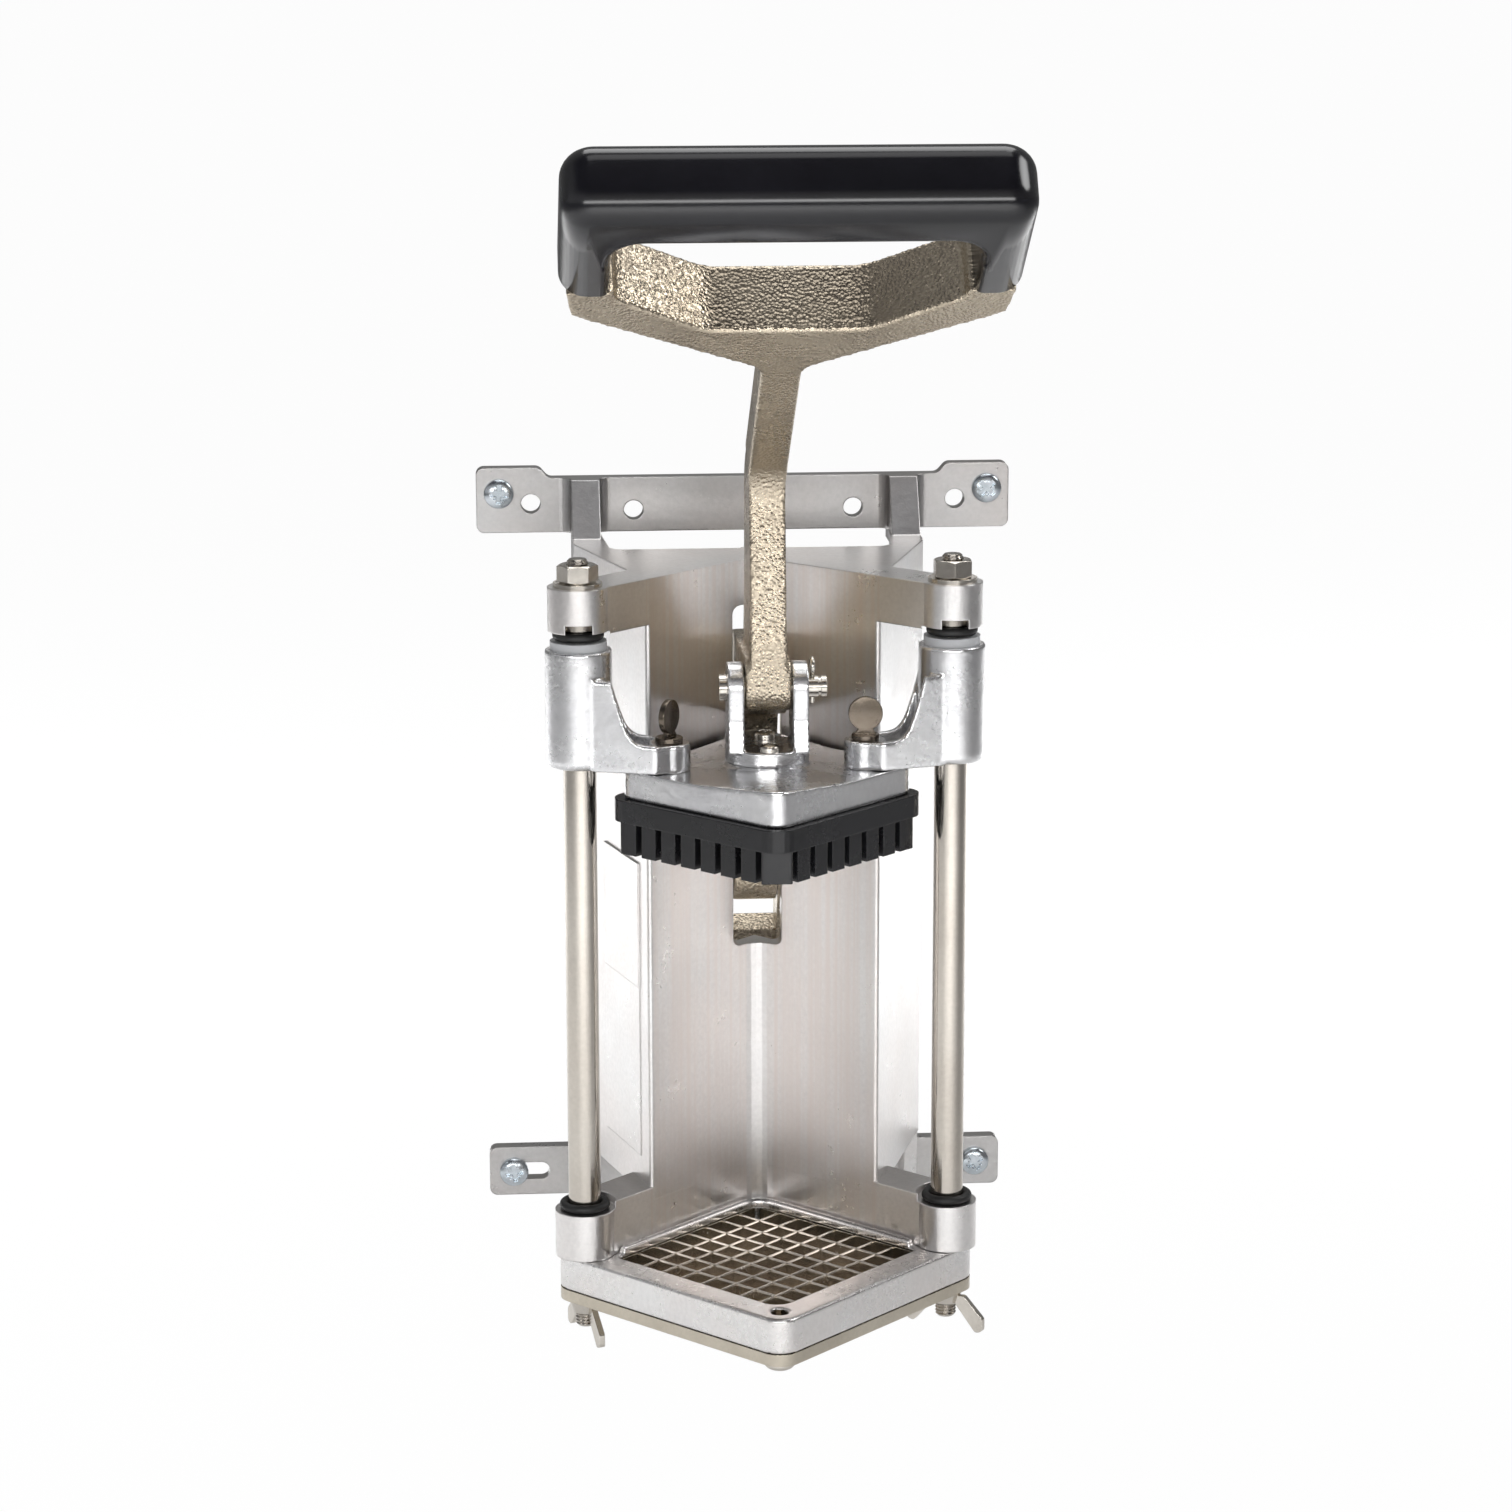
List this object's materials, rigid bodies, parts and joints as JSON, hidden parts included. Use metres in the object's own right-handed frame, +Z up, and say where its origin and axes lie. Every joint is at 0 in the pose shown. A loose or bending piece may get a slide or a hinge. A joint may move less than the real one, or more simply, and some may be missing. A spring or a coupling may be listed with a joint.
{
  "type": "french fry cutter",
  "caption": "Wall-hung lever press that drives a potato down a V-shaped channel through a square blade grid to cut it into fries.",
  "frame": {"origin": "on the wall plane, midway between the two outer bolt holes of the top wall bar", "axes": "+X to the user's right, +Y into the wall, +Z up; the user stands on the -Y side"},
  "size_m": [0.2066, 0.3099, 0.4519],
  "materials": {
    "cast_aluminium": "tumbled satin casting, linished on the channel walls",
    "polished_steel": "ground and polished rod",
    "blade_steel": "ground strip with a bright sharpened edge",
    "nickel_casting": "pebbled casting under warm nickel plate",
    "nickel_plate": "nickel plated fasteners",
    "nickel_sheet": "nickel plated machined plate",
    "zinc_steel": "bright zinc plated screws",
    "black_rubber": "matt black rubber",
    "pale_nylon": "pale grey nylon",
    "block_plastic": "satin black moulded plastic",
    "grip_plastic": "glossy black moulded grip"
  },
  "bodies": {
    "frame": {"frame_casting": "cast_aluminium", "base_plate": "cast_aluminium", "guide_rod_left": "polished_steel", "guide_rod_right": "polished_steel", "rod_nut_left": "nickel_plate", "rod_nut_right": "nickel_plate", "rod_washer_left": "nickel_plate", "rod_washer_right": "nickel_plate", "upper_ring_left": "black_rubber", "upper_ring_right": "black_rubber", "lower_ring_left": "black_rubber", "lower_ring_right": "black_rubber", "blade_holder": "nickel_sheet", "blades_lower": "blade_steel", "blades_upper": "blade_steel", "holder_screw": "nickel_plate", "wall_screws_top": "zinc_steel", "wall_screws_bottom": "zinc_steel", "link_pin": "nickel_plate"},
    "wing_nut_l": {"wing_nut_left": "nickel_plate"},
    "wing_nut_r": {"wing_nut_right": "nickel_plate"},
    "carriage": {"carriage_arm_left": "cast_aluminium", "carriage_arm_right": "cast_aluminium", "bush_upper_left": "pale_nylon", "bush_upper_right": "pale_nylon", "bush_lower_left": "pale_nylon", "bush_lower_right": "pale_nylon", "pusher_plate": "cast_aluminium", "pusher_block": "block_plastic", "clevis_bracket": "cast_aluminium", "clevis_screws": "nickel_plate", "clevis_pin": "nickel_plate", "cotter_pin": "nickel_plate"},
    "thumb_screw_l": {"thumb_screw_left": "nickel_plate"},
    "thumb_screw_r": {"thumb_screw_right": "nickel_plate"},
    "hand_lever": {"lever": "nickel_casting", "grip": "grip_plastic", "fulcrum_pin": "nickel_plate"},
    "link": {"swing_link": "nickel_casting"}
  },
  "joints": [
    {"name": "pusher_slide", "type": "slide", "parent": "frame", "child": "carriage", "axis": [0, 0, -1], "range_m": [0, 0.164]},
    {"name": "lever_pivot", "type": "hinge", "parent": "carriage", "child": "hand_lever", "pos_m": [0, -0.13, -0.0474], "axis": [1, 0, 0], "range_deg": [0, 97.5]},
    {"name": "link_pivot", "type": "hinge", "parent": "frame", "child": "link", "pos_m": [0, -0.0396, -0.1863], "axis": [-1, 0, 0], "range_deg": [0, 38.7]},
    {"name": "thumb_screw_left_turn", "type": "hinge", "parent": "carriage", "child": "thumb_screw_l", "pos_m": [-0.03546, -0.132, -0.0666], "axis": [0, 0, 1], "continuous": true},
    {"name": "thumb_screw_right_turn", "type": "hinge", "parent": "carriage", "child": "thumb_screw_r", "pos_m": [0.03546, -0.132, -0.0666], "axis": [0, 0, 1], "continuous": true},
    {"name": "wing_nut_left_turn", "type": "hinge", "parent": "frame", "child": "wing_nut_l", "pos_m": [-0.06752, -0.12401, -0.2804], "axis": [0, 0, 1], "continuous": true},
    {"name": "wing_nut_right_turn", "type": "hinge", "parent": "frame", "child": "wing_nut_r", "pos_m": [0.06752, -0.12401, -0.2804], "axis": [0, 0, 1], "continuous": true}
  ],
  "couplings": [
    {"joint": "lever_pivot", "follows": "pusher_slide", "rad_per_m": 10.368}
  ]
}
